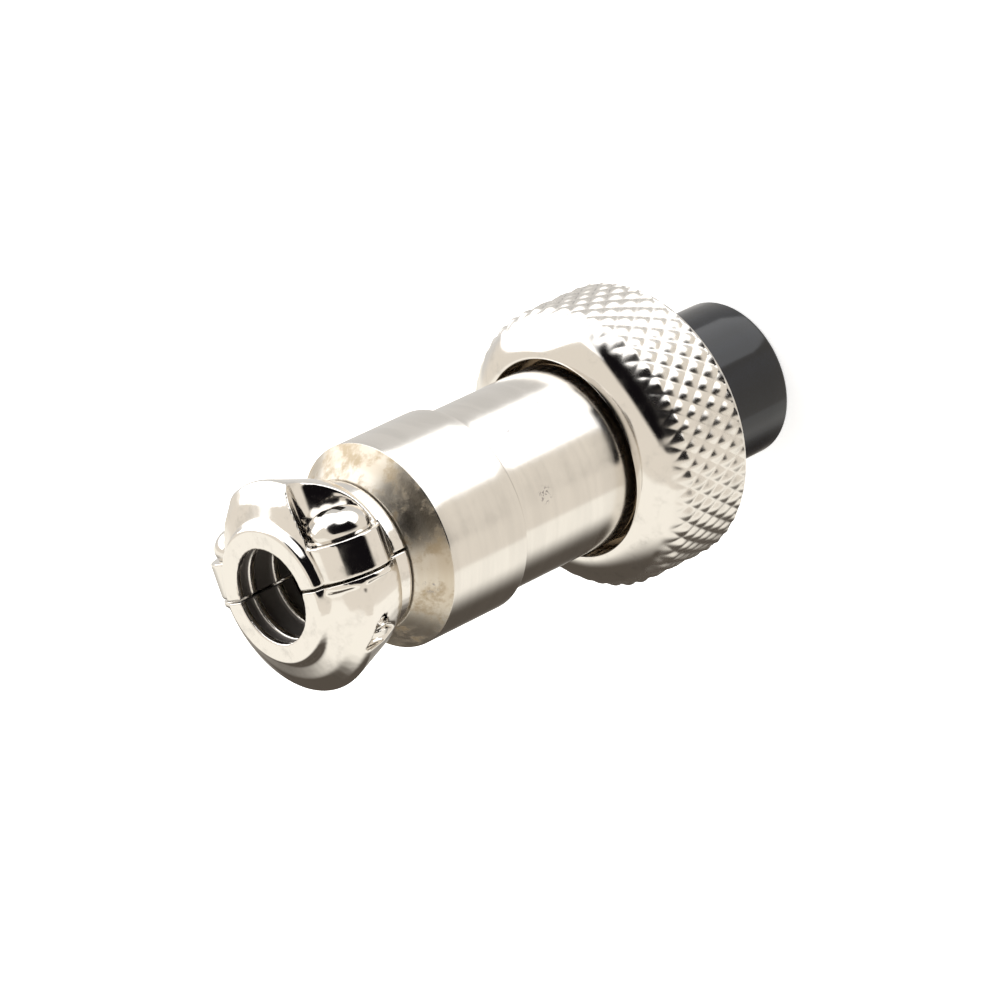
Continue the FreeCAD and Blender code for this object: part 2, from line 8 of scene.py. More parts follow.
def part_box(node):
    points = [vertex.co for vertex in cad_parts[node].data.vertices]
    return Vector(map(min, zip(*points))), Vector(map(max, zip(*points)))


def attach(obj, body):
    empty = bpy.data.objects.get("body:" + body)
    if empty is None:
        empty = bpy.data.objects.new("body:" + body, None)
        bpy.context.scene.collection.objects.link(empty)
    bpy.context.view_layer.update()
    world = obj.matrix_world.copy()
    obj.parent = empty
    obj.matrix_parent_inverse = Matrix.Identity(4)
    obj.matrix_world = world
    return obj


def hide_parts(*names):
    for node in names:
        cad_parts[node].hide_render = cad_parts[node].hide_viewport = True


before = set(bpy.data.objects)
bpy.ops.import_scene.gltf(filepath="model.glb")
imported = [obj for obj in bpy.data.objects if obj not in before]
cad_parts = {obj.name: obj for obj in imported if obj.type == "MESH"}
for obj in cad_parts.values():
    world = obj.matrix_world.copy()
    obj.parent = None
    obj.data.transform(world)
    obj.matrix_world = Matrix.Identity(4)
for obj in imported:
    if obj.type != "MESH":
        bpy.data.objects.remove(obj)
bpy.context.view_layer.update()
nut_low, nut_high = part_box("coupling_nut")

MM = 0.001

# Light that the surroundings give
BOX_LIGHT = (1.9, 1.89, 1.87)
WALL_LIGHT = (0.86, 0.80, 0.71)
BACK_LIGHT = (0.72, 0.70, 0.67)
TABLE_LIGHT = (1.08, 1.04, 0.95)
TABLE_DARK = (0.10, 0.085, 0.07)
CAMERA_SIDE = (0.006, 0.005, 0.006)

# Where the surroundings change, in degrees. Compass angles start at the camera's side.
WALL_TO_BACK = (125.0, 150.0)
TABLE_TO_WALL = (-22.0, -18.0)
BOX_LOW_EDGE = 37.0
BOX_EDGE_BLUR = 1.0
LEFT_BOX_DROP = 42.0
LEFT_BOX_START = (-82.0, -92.0)
LEFT_BOX_END = (-162.0, -150.0)
DARK_LEFT = (-90.0, -62.0)
DARK_RIGHT = (84.0, 72.0)
DARK_TOP = (74.0, 66.0)
DARK_BOTTOM = (1.0, 9.0)
DARK_SLOPE_START = -10.0
DARK_SLOPE = 0.62

# The table's near end, as the rise of a direction plus a share of its reach towards the camera
TABLE_END = (-0.62, -0.90)
TABLE_END_SHARE = 0.27

# Lamp over the floor, in metres and watts
SOFTBOX_SIZE = 0.5
SOFTBOX_POWER = 3.0
SOFTBOX_PLACE = (0.15, 0.05, 0.6)
SOFTBOX_AIM = (0.0, 0.0, 0.02)
FLOOR_SIZE = 4.0
FLOOR_GLOW = 0.7

# Camera of the photograph, in the part's frame: place in millimetres, then its axes
CAMERA_PLACE = (44.19, -241.70, 219.59)
CAMERA_RIGHT = (-0.32334, -0.63459, -0.70197)
CAMERA_UP = (0.93553, -0.10273, -0.33804)
CAMERA_BACK = (0.14239, -0.76601, 0.62688)
CAMERA_LENS = 180.0
CAMERA_SENSOR = 36.0
CAMERA_CLIP = (0.01, 10.0)

# Directions of the photographed table, in the part's frame: up from the table, level towards the
# camera and level to its right
PHOTO_UP = (0.8910, -0.4540, 0.0)
PHOTO_FRONT = (-0.3190, -0.6250, 0.7125)
PHOTO_RIGHT = (-0.3233, -0.6346, -0.7020)

# Colours of the finishes, and of painted shade
NICKEL = (0.84, 0.81, 0.77)
CASTING_NICKEL = (0.86, 0.83, 0.79)
# Painted shade: the inner holder and washer, deep between shell and nut, are dark brown
INNER_PLATE_PAINTED_SHADE = (0.30, 0.23, 0.15)
SPRING_STEEL = (0.42, 0.41, 0.40)
SCREW_PLATE = (0.74, 0.71, 0.66)
CONTACT_PLATE = (0.86, 0.80, 0.66)
BLACK_MOULDING = (0.004, 0.005, 0.008)
CONE_BROWNS = ((0.76, 0.72, 0.65), (0.62, 0.55, 0.45))
CONE_SCRATCH = (0.46, 0.37, 0.25)
HANDLING_MARK = (0.30, 0.28, 0.29)
# Painted shade inside the clamp's slits and cable channel
PAINTED_CREVICE_SHADE = (0.05, 0.04, 0.035)
# Painted shade on the wall of the nut's hole, with lighter stripes across it
HOLE_PAINTED_SHADE = (0.16, 0.11, 0.06)
HOLE_STRIPE = (0.52, 0.49, 0.47)
FLOOR_PAPER = ((0.93, 0.93, 0.93), (0.95, 0.95, 0.95))

# Grain of the finishes, as noise per metre. Three numbers are its scale along X, Y and Z.
FINE_RINGS = (40.0, 40.0, 9000.0)
BROAD_RINGS = (90.0, 90.0, 900.0)
HOLE_STRIPES = (60.0, 60.0, 4200.0)
DRAG_MARKS = (420.0, 420.0, 25.0)
MARK_STRETCH = (1.0, 1.0, 1.3)
WEAR = 900.0
CONE_SCRATCHES = 650.0
MARK_SWIRL = 1900.0
MARK_GAPS = 2600.0
CAST_SWELL = 420.0
CAST_PITS = 2600.0
CAST_STAIN = 700.0
PLASTIC_GRAIN = 5000.0
PAPER_TONE = 30.0

# Turned faces stretch their sheen across the rings
SHEEN_STRETCH = 0.7
SHEEN_TURN = 0.25

# Rear shell
TUBE_R = 6.18
BARREL_R = 6.73
STEP_Z = 25.8
BARREL_END_Z = 32.2
CONE_END_R = 5.0
NECK_R = 3.9
NECK_END_Z = 35.53
NECK_FLANGE_R = 4.5
SHELL_CABLE_R = 3.2
SHELL_BORE_R = 5.2
SHELL_BORE_END_Z = 32.43
SHELL_BORE_ROUND = 0.9
SHELL_THREAD_R = 5.53
SHELL_THREAD_END_Z = 23.05
SHELL_MOUTH_CHAMFER = 0.3
SHELL_FRONT_EDGE = 0.25
SHELL_EDGE = 0.12
SHARP_EDGE = 0.05
LOCK_SCREW_HOLE_R = 1.03
LOCK_SCREW_HOLE_REACH = (3.0, 9.0)
LOCK_SCREW_Z = 20.55

# Marks of handling on the shell: angle in degrees, height and reach
SHELL_MARKS = ((-95.0, 23.25, 0.75), (-44.5, 19.8, 0.45), (-50.0, 23.4, 0.4), (-54.0, 27.4, 0.35),
               (-119.0, 33.2, 0.7))

# Coupling nut
NUT_HOLE_R = 6.68
NUT_HOLE_EDGE = 0.1
NUT_FACE_R = 6.8
NUT_WALL = 1.8
NUT_SHOULDER_DROP = 2.3
NUT_SHOULDER_BEND = 1.3
NUT_RIM_DROP = 0.2
NUT_RIM_LENGTH = 0.25
NUT_MOUTH_R = 8.1
NUT_MOUTH_STEP = 0.1
NUT_LIP_R = 8.9
NUT_THREAD_PITCH = 1.5
NUT_THREAD_TOP_R = 7.99
NUT_THREAD_LOW_R = 7.2
NUT_THREAD_STEEPNESS = 1.25
NUT_THREAD_CREST = 0.12
NUT_THREAD_FROM_FRONT = 0.9
NUT_THREAD_TO_WALL = 0.15
KNURL_COUNT = 46
KNURL_HALF_PITCH = 0.892
KNURL_DEPTH = 0.15
KNURL_DOME = 1.7
KNURL_RUN_IN = 0.35
KNURL_FADE_START = 2.0
KNURL_FADE_END = 0.95

# Insulating insert
NOSE_R = 5.3
NOSE_EDGE = 0.3
INSERT_FLANGE_R = 5.8
INSERT_FLANGE_Z = (12.3, 14.5)
INSERT_TAIL_R = 4.3
INSERT_TAIL_EDGE = 0.15
KEYWAY_FLOOR = 4.4
KEYWAY_HALF_WIDTH = 0.9
KEYWAY_LENGTH = 8.5
CONTACT_RING_COUNT = 8
CONTACT_RING_R = 2.9
CONTACT_RING_START = 22.5
CONTACT_ENTRY_R = 0.6
CONTACT_BORE_R = 0.77
CONTACT_RECESS = 1.0

# Clamp screws
SCREW_OFFSET = 4.7
SCREW_Z = 38.25
SCREW_R = 0.98
SCREW_PITCH = 0.4
SCREW_THREAD_DEPTH = 0.2
SCREW_PLAIN = 0.6
SCREW_SEAT = 2.42
SCREW_TIP = -4.1
SCREW_TIP_CHAMFER = 0.3
SCREW_HEAD_R = 2.0
SCREW_HEAD_HEIGHT = 1.75
SCREW_HEAD_EDGE = 0.4
SCREW_HEAD_UNDERCUT = 0.1
SCREW_CROWN_BEND = 0.85
RECESS_REACH = 1.1
RECESS_HALF_WIDTH = 0.25
RECESS_DEPTH = 0.75

# Clamp casting
CLAMP_VOXEL = 0.074
CLAMP_SMOOTHING = 16
SLIT_R = (4.5, 7.5)
SLIT_Z = (35.0, 35.52)
# Painted shade inside the slits, out to this radius
SLIT_SHADE_R = 4.97
SLIT_START = 3.0
SLIT_SWEEP = 24.0
# Painted shade between the ribs of the cable channel: radii, then how far from the clamp's end it fades
CHANNEL_SHADE_R = (3.1, 3.55)
CHANNEL_SHADE_FADE = (0.15, 0.35)

# Fineness of the meshes: columns round the axis, and the longest stretch along an outline
GROOVE_COLUMNS = 16
SHELL_COLUMNS = 256
INSERT_COLUMNS = 160
SCREW_COLUMNS = 64
ROD_COLUMNS = 48
CONTACT_COLUMNS = 32
SHOULDER_STEPS = 32
CROWN_STEPS = 24
KNURL_STRETCH = 0.12
NUT_THREAD_STRETCH = 0.15
NUT_MOUTH_STRETCH = 0.4
SHELL_STRETCH = 1.0
INSERT_STRETCH = 1.5
SCREW_THREAD_STRETCH = 0.05

# Edges that bend by more than this many degrees are shaded sharp
SHARP_FROM = 35.0

# A round takes up to this share of a side, which is less where the side's other end is round too
FREE_SIDE = 0.95
SHARED_SIDE = 0.48


# Mesh helpers. Shapes are made in millimetres and scaled once.

def rounded(corners, steps=8):
    """Points of an outline whose corners are (r, z) or (r, z, round). The ends stay sharp."""
    points = []
    for index, corner in enumerate(corners):
        here = Vector(corner[:2])
        if len(corner) < 3 or index in (0, len(corners) - 1):
            points.append(here)
            continue
        before = Vector(corners[index - 1][:2]) - here
        after = Vector(corners[index + 1][:2]) - here
        half = before.angle(after) / 2
        room = []
        for arm, other in ((before, corners[index - 1]), (after, corners[index + 1])):
            room.append(arm.length * (SHARED_SIDE if len(other) > 2 else FREE_SIDE))
        cut = min([corner[2] / math.tan(half)] + room)
        radius = cut * math.tan(half)
        middle = here + (before.normalized() + after.normalized()).normalized() * (radius / math.sin(half))
        start = here + before.normalized() * cut - middle
        sweep = math.pi - 2 * half
        turn = math.copysign(1.0, start.cross(here + after.normalized() * cut - middle))
        for step in range(steps + 1):
            angle = turn * sweep * step / steps
            points.append(middle + Matrix.Rotation(angle, 2) @ start)
    return points


def divided(points, step):
    """The same line with no stretch longer than step."""
    line = [points[0]]
    for start, end in zip(points, points[1:]):
        count = max(1, math.ceil((end - start).length / step))
        for index in range(1, count + 1):
            line.append(start.lerp(end, index / count))
    return line


def around(points, columns, radius_at=None):
    """One row of 3-D points for each outline point. radius_at(theta, r, z) may change a radius."""
    rows = []
    for r, z in points:
        row = []
        for column in range(columns):
            theta = 2 * math.pi * column / columns
            true_r = radius_at(theta, r, z) if radius_at else r
            row.append((true_r * math.cos(theta), true_r * math.sin(theta), z))
        rows.append(row)
    return rows


def mesh_object(name, rows, closed, smooth_angle=SHARP_FROM):
    """Object over rows of points that run round the axis. A closed outline joins last row to first."""
    columns = len(rows[0])
    vertices = [point for row in rows for point in row]
    faces = []
    for row in range(len(rows) if closed else len(rows) - 1):
        following = (row + 1) % len(rows)
        for column in range(columns):
            beside = (column + 1) % columns
            faces.append((row * columns + column, row * columns + beside,
                          following * columns + beside, following * columns + column))
    mesh = bpy.data.meshes.new(name)
    mesh.from_pydata(vertices, [], faces)
    work = bmesh.new()
    work.from_mesh(mesh)
    bmesh.ops.remove_doubles(work, verts=work.verts, dist=1e-5)
    bmesh.ops.recalc_face_normals(work, faces=work.faces)
    work.to_mesh(mesh)
    work.free()
    mesh.transform(Matrix.Scale(MM, 4))
    shade(mesh, smooth_angle)
    return linked_object(name, mesh)


def linked_object(name, data):
    made = bpy.data.objects.new(name, data)
    bpy.context.scene.collection.objects.link(made)
    return made


def shade(mesh, smooth_angle):
    mesh.polygons.foreach_set("use_smooth", [True] * len(mesh.polygons))
    mesh.set_sharp_from_angle(angle=math.radians(smooth_angle))


def bake_modifiers(piece):
    """Applies the piece's modifiers to its mesh."""
    bpy.context.view_layer.update()
    graph = bpy.context.evaluated_depsgraph_get()
    made = bpy.data.meshes.new_from_object(piece.evaluated_get(graph))
    piece.modifiers.clear()
    piece.data = made


def rod(radius, low, high, place=(0.0, 0.0), columns=ROD_COLUMNS):
    """Capped cylinder along Z, in millimetres, as a bmesh."""
    work = bmesh.new()
    middle = Matrix.Translation((place[0], place[1], (low + high) / 2))
    bmesh.ops.create_cone(work, cap_ends=True, segments=columns, radius1=radius, radius2=radius,
                          depth=high - low, matrix=middle)
    return work


def block(low, high):
    """Box between two corners, in millimetres, as a bmesh."""
    work = bmesh.new()
    size = Vector(high) - Vector(low)
    place = Matrix.Translation((Vector(low) + Vector(high)) / 2)
    bmesh.ops.create_cube(work, size=1.0, matrix=place @ Matrix.Diagonal((*size, 1.0)))
    return work


def sector(radii, heights, start, sweep, steps=24):
    """Part of a ring between two angles in degrees, as a bmesh."""
    inner, outer = radii
    low, high = heights
    work = bmesh.new()
    loops = []
    for step in range(steps + 1):
        angle = math.radians(start + sweep * step / steps)
        corners = ((inner, low), (outer, low), (outer, high), (inner, high))
        loops.append([work.verts.new((r * math.cos(angle), r * math.sin(angle), z)) for r, z in corners])
    for first, second in zip(loops, loops[1:]):
        for index in range(4):
            beside = (index + 1) % 4
            work.faces.new((first[index], first[beside], second[beside], second[index]))
    work.faces.new(loops[0])
    work.faces.new(loops[-1])
    bmesh.ops.recalc_face_normals(work, faces=work.faces)
    return work


def cut_away(piece, tools, smooth_angle=SHARP_FROM):
    """Cuts bmesh tools, in millimetres, out of a piece."""
    cutters = []
    for work in tools:
        mesh = bpy.data.meshes.new("cutter")
        work.to_mesh(mesh)
        work.free()
        mesh.transform(Matrix.Scale(MM, 4))
        cutter = linked_object("cutter", mesh)
        cutters.append(cutter)
        modifier = piece.modifiers.new("cut", "BOOLEAN")
        modifier.operation = "DIFFERENCE"
        modifier.solver = "EXACT"
        modifier.object = cutter
    bake_modifiers(piece)
    for cutter in cutters:
        bpy.data.objects.remove(cutter)
    shade(piece.data, smooth_angle)


def dress(piece, material):
    """Gives a piece one material in place of any others."""
    piece.data.materials.clear()
    piece.data.materials.append(material)


# Material helpers

def add(tree, kind, inputs=None, **settings):
    """New node with its settings, and its inputs as numbers or as sockets to link."""
    node = tree.nodes.new(kind)
    for name, value in settings.items():
        setattr(node, name, value)
    for name, value in (inputs or {}).items():
        if isinstance(value, bpy.types.NodeSocket):
            tree.links.new(value, node.inputs[name])
        else:
            node.inputs[name].default_value = value
    return node


def maths(tree, operation, first, second=0.0, third=0.0):
    return add(tree, "ShaderNodeMath", {0: first, 1: second, 2: third}, operation=operation).outputs[0]


def product(tree, value, *shares):
    for share in shares:
        value = maths(tree, "MULTIPLY", value, share)
    return value


def vector_value(tree, operation, *vectors):
    """A number from one or two vectors, such as a length or a distance."""
    node = add(tree, "ShaderNodeVectorMath", dict(enumerate(vectors)), operation=operation)
    return node.outputs["Value"]


def spread(tree, value, low, high, to_low=0.0, to_high=1.0):
    """Smooth step from one value to another, while a value goes from low to high."""
    node = add(tree, "ShaderNodeMapRange",
               {"Value": value, "From Min": low, "From Max": high, "To Min": to_low, "To Max": to_high},
               interpolation_type="SMOOTHSTEP")
    return node.outputs["Result"]


def blended(tree, share, first, second):
    """Colour mix. first shows where share is 0. The node's colours go in at 6 and 7 and out at 2."""
    node = add(tree, "ShaderNodeMix", {"Factor": share}, data_type="RGBA")
    for socket, value in ((node.inputs[6], first), (node.inputs[7], second)):
        if isinstance(value, bpy.types.NodeSocket):
            tree.links.new(value, socket)
        else:
            socket.default_value = (*value, 1.0)
    return node.outputs[2]


def noise(tree, vector, scale, detail=2.0, rough=0.5):
    node = add(tree, "ShaderNodeTexNoise",
               {"Vector": vector, "Scale": scale, "Detail": detail, "Roughness": rough})
    return node.outputs["Fac"]


def scaled(tree, vector, factors):
    return add(tree, "ShaderNodeVectorMath", {0: vector, 1: factors}, operation="MULTIPLY").outputs[0]


def cylinder_of(tree, place):
    """Distance from Z, and height, of a place."""
    parts = add(tree, "ShaderNodeSeparateXYZ", {0: place})
    flat = add(tree, "ShaderNodeCombineXYZ", {0: parts.outputs[0], 1: parts.outputs[1]}).outputs[0]
    return vector_value(tree, "LENGTH", flat), parts.outputs[2]


def material_parts(material):
    """Node tree, shader and object coordinates of a material."""
    tree = material.node_tree
    place = add(tree, "ShaderNodeTexCoord").outputs["Object"]
    return tree, tree.nodes["Principled BSDF"], place


def new_material(name):
    material = bpy.data.materials.new(name)
    material.use_nodes = True
    return material, *material_parts(material)


def linked_to(shader, name):
    """What a shader's input is linked to."""
    return shader.inputs[name].links[0].from_socket


def bump(tree, shader, height, distance):
    node = add(tree, "ShaderNodeBump", {"Height": height, "Strength": 1.0, "Distance": distance})
    tree.links.new(node.outputs[0], shader.inputs["Normal"])


# Materials

def turned_metal(name, colour, roughness, ring_height):
    """Plated turned metal: fine rings round Z, with a sheen that is stretched across them."""
    material, tree, shader, place = new_material(name)
    shader.inputs["Metallic"].default_value = 1.0
    shader.inputs["Anisotropic"].default_value = SHEEN_STRETCH
    shader.inputs["Anisotropic Rotation"].default_value = SHEEN_TURN
    rings = noise(tree, scaled(tree, place, FINE_RINGS), 1.0, detail=4.0, rough=0.7)
    tones = noise(tree, scaled(tree, place, BROAD_RINGS), 1.0, detail=3.0)
    worn = noise(tree, place, WEAR, detail=5.0, rough=0.65)
    darker = tuple(0.93 * part for part in colour)
    tint = blended(tree, spread(tree, tones, 0.35, 0.65), colour, darker)
    tint = blended(tree, spread(tree, worn, 0.64, 0.72, 0.0, 0.25), tint, darker)
    tree.links.new(tint, shader.inputs["Base Color"])
    rough = spread(tree, worn, 0.4, 0.75, roughness, roughness + 0.06)
    tree.links.new(rough, shader.inputs["Roughness"])
    tangent = add(tree, "ShaderNodeTangent", direction_type="RADIAL", axis="Z").outputs[0]
    tree.links.new(tangent, shader.inputs["Tangent"])
    bump(tree, shader, rings, ring_height * MM)
    return material


def shell_metal(name):
    """The shell's turned plate, with marks of handling. From the barrel's end up, the tool left a
    rougher and browner face with scratches."""
    material = turned_metal(name, NICKEL, roughness=0.13, ring_height=0.001)
    tree, shader, place = material_parts(material)
    height = cylinder_of(tree, place)[1]
    rear = spread(tree, height, (BARREL_END_Z - 0.02) * MM, (BARREL_END_Z + 0.04) * MM)
    tones = noise(tree, scaled(tree, place, BROAD_RINGS), 1.0, detail=3.0)
    brown = blended(tree, spread(tree, tones, 0.3, 0.7), *CONE_BROWNS)
    tint = blended(tree, rear, linked_to(shader, "Base Color"), brown)
    scratches = spread(tree, noise(tree, place, CONE_SCRATCHES, detail=4.0, rough=0.7), 0.44, 0.66)
    scratched = product(tree, rear, scratches)
    tint = blended(tree, scratched, tint, CONE_SCRATCH)
    tree.links.new(marked(tree, place, tint), shader.inputs["Base Color"])
    plated = maths(tree, "SUBTRACT", 1.0, product(tree, scratched, 0.5))
    tree.links.new(plated, shader.inputs["Metallic"])
    rough = maths(tree, "MULTIPLY_ADD", rear, 0.18, linked_to(shader, "Roughness"))
    tree.links.new(rough, shader.inputs["Roughness"])
    return material


def marked(tree, place, tint):
    """The shell's tint with a few small scratches of handling."""
    swirl = noise(tree, place, MARK_SWIRL, detail=3.0, rough=0.6)
    line = maths(tree, "ABSOLUTE", maths(tree, "SUBTRACT", swirl, 0.5))
    gaps = spread(tree, noise(tree, scaled(tree, place, MARK_STRETCH), MARK_GAPS), 0.42, 0.50)
    ragged = product(tree, spread(tree, line, 0.040, 0.012), gaps)
    for angle, z, reach in SHELL_MARKS:
        radius = TUBE_R if z < STEP_Z else BARREL_R - max(z - BARREL_END_Z, 0.0)
        angle = math.radians(angle)
        point = Vector((radius * math.cos(angle), radius * math.sin(angle), z)) * MM
        distance = vector_value(tree, "DISTANCE", place, point)
        near = product(tree, spread(tree, distance, reach * MM, 0.2 * reach * MM), ragged)
        tint = blended(tree, near, tint, HANDLING_MARK)
    return tint


def cast_metal(name, colour, roughness, swell):
    """Plated casting: nearly a mirror, with a soft swell and small pits."""
    material, tree, shader, place = new_material(name)
    shader.inputs["Metallic"].default_value = 1.0
    wave = noise(tree, place, CAST_SWELL, rough=0.4)
    pits = noise(tree, place, CAST_PITS, detail=3.0, rough=0.6)
    stain = noise(tree, place, CAST_STAIN, detail=4.0, rough=0.6)
    dark = tuple(0.8 * part for part in colour)
    tree.links.new(blended(tree, spread(tree, stain, 0.5, 0.8), colour, dark), shader.inputs["Base Color"])
    tree.links.new(spread(tree, stain, 0.4, 0.8, roughness, roughness + 0.1), shader.inputs["Roughness"])
    height = maths(tree, "MULTIPLY_ADD", spread(tree, pits, 0.28, 0.36), 0.08, wave)
    bump(tree, shader, height, swell * MM)
    return material


def nut_metal(name):
    """The nut's plate: bright on the shoulder, duller on the knurl, and in its hole a painted dark brown
    shade with lighter stripes.
    """
    material = cast_metal(name, NICKEL, roughness=0.07, swell=0.006)
    tree, shader, place = material_parts(material)
    radius, height = cylinder_of(tree, place)
    knurl_end = nut_high.z - KNURL_FADE_END * MM
    knurled = spread(tree, height, knurl_end, knurl_end - 0.4 * MM)
    hole = spread(tree, radius, (NUT_HOLE_R + 0.06) * MM, (NUT_HOLE_R + 0.02) * MM)
    rough = maths(tree, "MULTIPLY_ADD", knurled, 0.17, linked_to(shader, "Roughness"))
    tree.links.new(maths(tree, "MULTIPLY_ADD", hole, 0.15, rough), shader.inputs["Roughness"])
    stripes = noise(tree, scaled(tree, place, HOLE_STRIPES), 1.0, detail=1.0)
    # Painted shade on the hole's wall, which sits deep in the gap round the shell
    painted_hole_shade = blended(tree, spread(tree, stripes, 0.45, 0.55), HOLE_PAINTED_SHADE, HOLE_STRIPE)
    tint = blended(tree, hole, linked_to(shader, "Base Color"), painted_hole_shade)
    tree.links.new(tint, shader.inputs["Base Color"])
    return material


def clamp_metal(name):
    """Plated casting, with painted shade inside its slits and between the ribs of its cable channel: dark,
    rough and not metallic there.
    """
    material = cast_metal(name, CASTING_NICKEL, roughness=0.08, swell=0.010)
    tree, shader, place = material_parts(material)
    radius, height = cylinder_of(tree, place)
    low, high = SLIT_Z
    slit = product(tree, spread(tree, height, (low - 0.01) * MM, (low + 0.02) * MM),
                   spread(tree, height, (high + 0.02) * MM, (high - 0.02) * MM),
                   spread(tree, radius, SLIT_SHADE_R * MM, (SLIT_SHADE_R - 0.04) * MM))
    inner, outer = CHANNEL_SHADE_R
    clamp_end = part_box("clamp_half_b")[1].z
    near, far = CHANNEL_SHADE_FADE
    channel = product(tree, spread(tree, radius, inner * MM, (inner + 0.1) * MM),
                      spread(tree, radius, outer * MM, (outer - 0.1) * MM),
                      spread(tree, height, clamp_end - near * MM, clamp_end - far * MM), 0.9)
    # Painted shade where the slits and the channel lie in shadow
    painted_shade = maths(tree, "MAXIMUM", slit, channel)
    tint = blended(tree, painted_shade, linked_to(shader, "Base Color"), PAINTED_CREVICE_SHADE)
    tree.links.new(tint, shader.inputs["Base Color"])
    rough = maths(tree, "MULTIPLY_ADD", painted_shade, 0.6, linked_to(shader, "Roughness"))
    tree.links.new(rough, shader.inputs["Roughness"])
    tree.links.new(maths(tree, "SUBTRACT", 1.0, painted_shade), shader.inputs["Metallic"])
    return material


def moulded_plastic(name, colour, roughness):
    """Glossy moulding with soft drag marks along Z."""
    material, tree, shader, place = new_material(name)
    drag = noise(tree, scaled(tree, place, DRAG_MARKS), 1.0, detail=3.0, rough=0.6)
    grain = noise(tree, place, PLASTIC_GRAIN)
    lighter = tuple(1.8 * part for part in colour)
    tree.links.new(blended(tree, spread(tree, drag, 0.4, 0.6), colour, lighter), shader.inputs["Base Color"])
    tree.links.new(spread(tree, drag, 0.35, 0.65, roughness, roughness + 0.07), shader.inputs["Roughness"])
    height = maths(tree, "MULTIPLY_ADD", grain, 0.01, drag)
    bump(tree, shader, height, 0.03 * MM)
    return material


# Pieces

def knurl_radius(theta, r, z):
    """Radius of the nut's outside: domed diamonds between sharp grooves, which run out at both ends."""
    front, rear = nut_low.z / MM, nut_high.z / MM
    knurl_end = rear - KNURL_FADE_END
    if z > knurl_end:
        return r
    across = theta / math.pi * KNURL_COUNT
    along = (z - front) / KNURL_HALF_PITCH
    height = 1.0
    for phase in ((across + along) / 2, (across - along) / 2):
        height *= 1.0 - abs(2.0 * (phase - round(phase))) ** KNURL_DOME
    share = min((z - front) / KNURL_RUN_IN, (knurl_end - z) / (KNURL_FADE_START - KNURL_FADE_END), 1.0)
    return r - share * KNURL_DEPTH * (1.0 - height)


def thread_wave(theta, z, pitch):
    """Wave of a right-hand thread: 1 at whole turns and 0 halfway between them."""
    turns = z / pitch - theta / (2 * math.pi)
    return 2.0 * abs(turns - math.floor(turns) - 0.5)


def thread_radius(theta, r, z):
    """Radius of the nut's inside thread."""
    wave = thread_wave(theta, z, NUT_THREAD_PITCH)
    depth = min(max(wave * NUT_THREAD_STEEPNESS - NUT_THREAD_CREST, 0.0), 1.0)
    return NUT_THREAD_LOW_R + (NUT_THREAD_TOP_R - NUT_THREAD_LOW_R) * depth


def nut_shoulder(outer_r, rear):
    """Soft bend from the knurl to the flat face round the hole."""
    points = []
    for step in range(SHOULDER_STEPS + 1):
        angle = math.pi / 2 * step / SHOULDER_STEPS
        across = max(math.cos(angle), 0.0) ** NUT_SHOULDER_BEND
        along = math.sin(angle) ** NUT_SHOULDER_BEND
        points.append(Vector((NUT_FACE_R + (outer_r - NUT_FACE_R) * across,
                              rear - NUT_SHOULDER_DROP * (1.0 - along))))
    return points


def nut_outside(outer_r, front, rear):
    """Outline of the nut from its front rim over the shoulder and down its hole."""
    rim = [Vector((outer_r - NUT_RIM_DROP, front)), Vector((outer_r, front + NUT_RIM_LENGTH))]
    shoulder = nut_shoulder(outer_r, rear)
    hole = rounded([(NUT_FACE_R, rear), (NUT_HOLE_R, rear, NUT_HOLE_EDGE), (NUT_HOLE_R, rear - NUT_WALL)])
    return divided(rim + shoulder[:1], KNURL_STRETCH) + shoulder[1:] + hole[1:]


def make_nut():
    front, rear = nut_low.z / MM, nut_high.z / MM
    columns = KNURL_COUNT * GROOVE_COLUMNS
    inner = rear - NUT_WALL
    low_r = NUT_THREAD_LOW_R
    thread = [Vector((low_r, inner - NUT_THREAD_TO_WALL)), Vector((low_r, front + NUT_THREAD_FROM_FRONT))]
    mouth = [Vector((low_r + NUT_MOUTH_STEP, front + NUT_THREAD_FROM_FRONT - NUT_MOUTH_STEP)),
             Vector((NUT_MOUTH_R, front)), Vector((NUT_LIP_R, front))]
    rows = around(nut_outside(nut_high.x / MM, front, rear), columns, knurl_radius)
    rows += around([Vector((low_r, inner))], columns)
    rows += around(divided(thread, NUT_THREAD_STRETCH), columns, thread_radius)
    rows += around(divided(mouth, NUT_MOUTH_STRETCH), columns)
    nut = mesh_object("coupling_nut_body", rows, closed=True, smooth_angle=28.0)
    dress(nut, nut_metal("nut_nickel"))
    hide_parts("coupling_nut")
    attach(nut, "nut")


